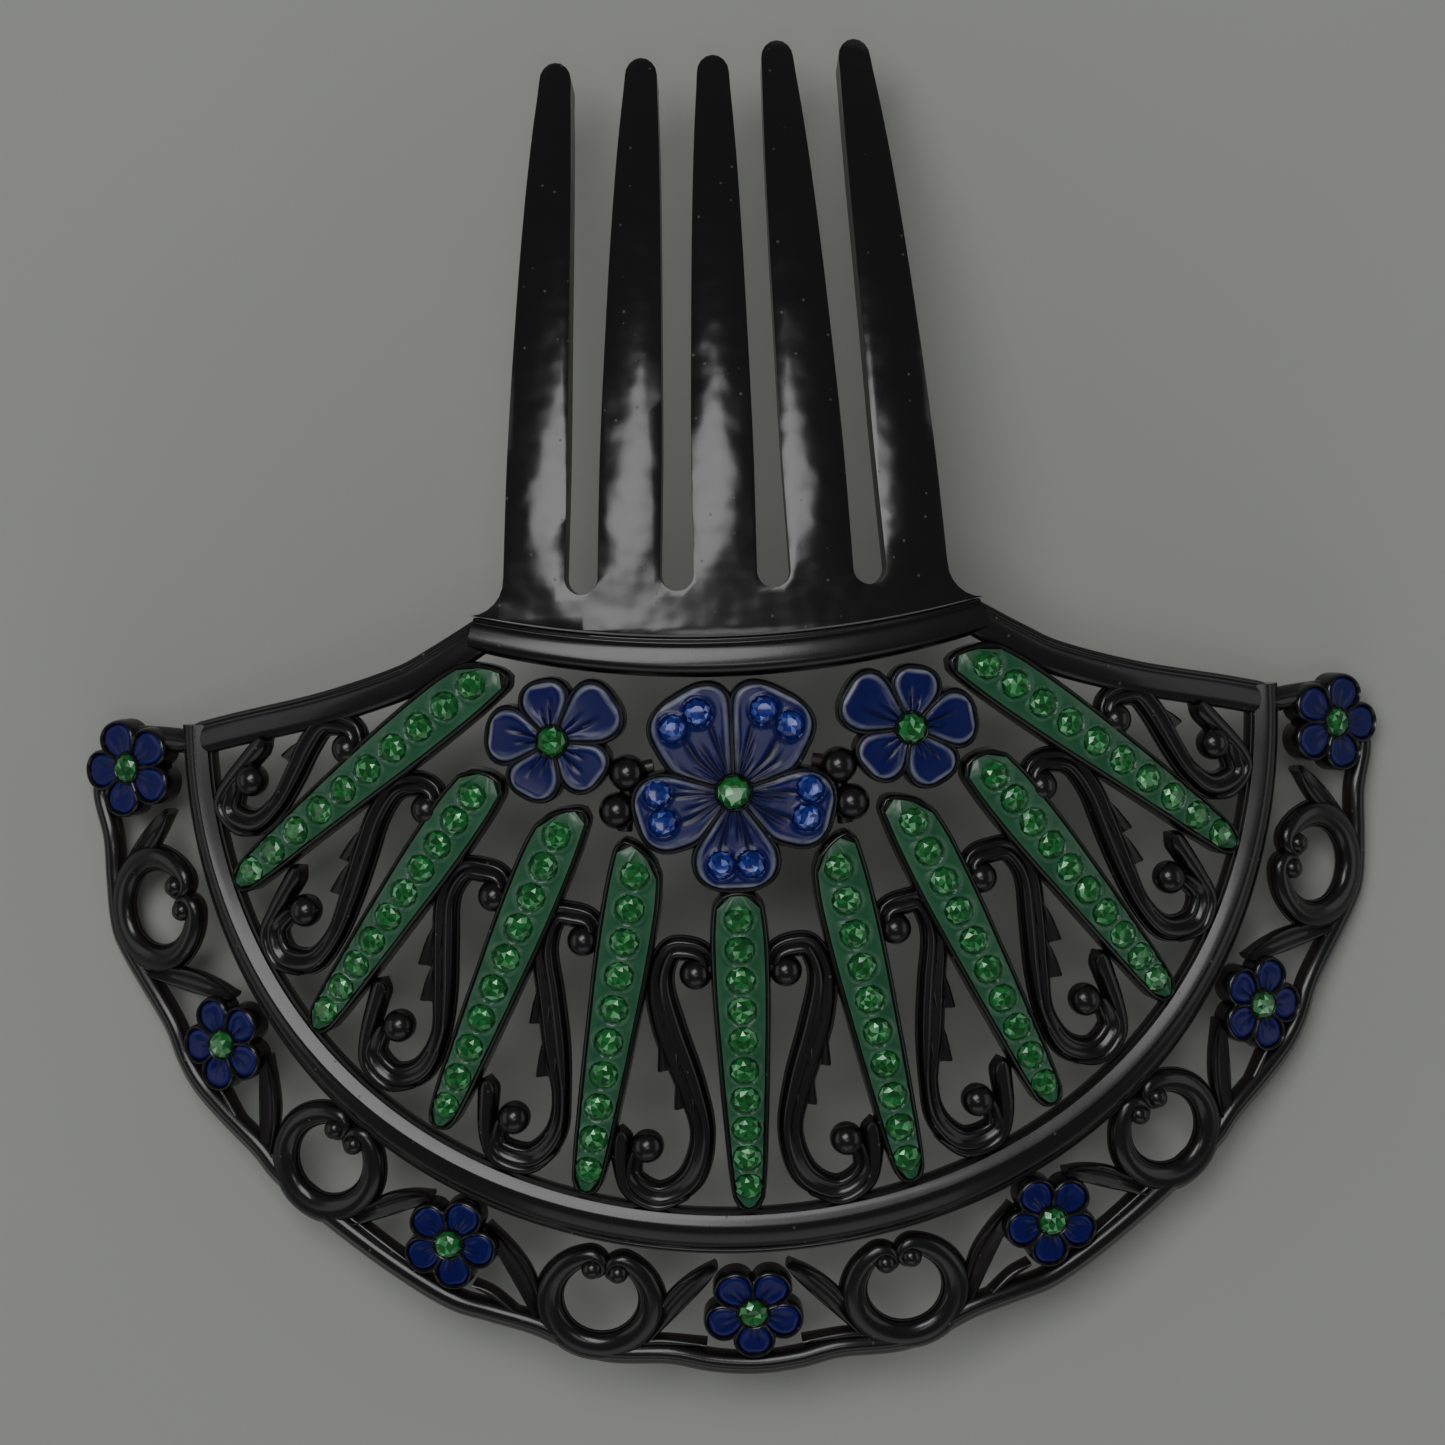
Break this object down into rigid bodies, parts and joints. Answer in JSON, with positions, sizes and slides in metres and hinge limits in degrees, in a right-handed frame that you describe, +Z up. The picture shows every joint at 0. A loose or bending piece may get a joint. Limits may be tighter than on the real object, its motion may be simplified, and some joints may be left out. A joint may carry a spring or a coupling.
{
  "type": "decorative hair comb",
  "caption": "Fan-shaped openwork hair comb with tines, enamelled flowers and spokes, and rows of small faceted stones.",
  "frame": {"origin": "middle of the comb's box in X and Y, at its lowest point, which is where the two ends of the crown stand", "axes": "+X to the right across the crown, +Y along the tines to their tips, +Z up, out of the decorated face; the arched back faces down"},
  "size_m": [0.1546, 0.1546, 0.0351],
  "materials": {
    "black_moulding": "moulded black celluloid, polished, slightly rubbed on the edges",
    "green_enamel": "opaque green cold enamel, satin",
    "blue_enamel": "blue cold enamel with lighter rubbed edges, satin",
    "green_stone": "foil-backed faceted green glass",
    "blue_stone": "foil-backed faceted blue glass"
  },
  "bodies": {
    "root": {"crown": "black_moulding", "enamel_flower_border_left_1": "blue_enamel", "enamel_flower_border_left_2": "blue_enamel", "enamel_flower_border_left_3": "blue_enamel", "enamel_flower_border_middle": "blue_enamel", "enamel_flower_border_right_1": "blue_enamel", "enamel_flower_border_right_2": "blue_enamel", "enamel_flower_border_right_3": "blue_enamel", "enamel_flower_centre": "blue_enamel", "enamel_flower_top_left": "blue_enamel", "enamel_flower_top_right": "blue_enamel", "enamel_spoke_left_1": "green_enamel", "enamel_spoke_left_2": "green_enamel", "enamel_spoke_left_3": "green_enamel", "enamel_spoke_left_4": "green_enamel", "enamel_spoke_middle": "green_enamel", "enamel_spoke_right_1": "green_enamel", "enamel_spoke_right_2": "green_enamel", "enamel_spoke_right_3": "green_enamel", "enamel_spoke_right_4": "green_enamel", "stone_border_left_1": "green_stone", "stone_border_left_2": "green_stone", "stone_border_left_3": "green_stone", "stone_border_middle": "green_stone", "stone_border_right_1": "green_stone", "stone_border_right_2": "green_stone", "stone_border_right_3": "green_stone", "stone_flower_centre": "green_stone", "stone_flower_top_left": "green_stone", "stone_flower_top_right": "green_stone", "stone_petal_1a": "blue_stone", "stone_petal_1b": "blue_stone", "stone_petal_2a": "blue_stone", "stone_petal_2b": "blue_stone", "stone_petal_3a": "blue_stone", "stone_petal_3b": "blue_stone", "stone_petal_4a": "blue_stone", "stone_petal_4b": "blue_stone", "stone_petal_5a": "blue_stone", "stone_petal_5b": "blue_stone", "stone_row_left_1": "green_stone", "stone_row_left_2": "green_stone", "stone_row_left_3": "green_stone", "stone_row_left_4": "green_stone", "stone_row_middle": "green_stone", "stone_row_right_1": "green_stone", "stone_row_right_2": "green_stone", "stone_row_right_3": "green_stone", "stone_row_right_4": "green_stone", "tine_plate": "black_moulding"}
  },
  "joints": []
}
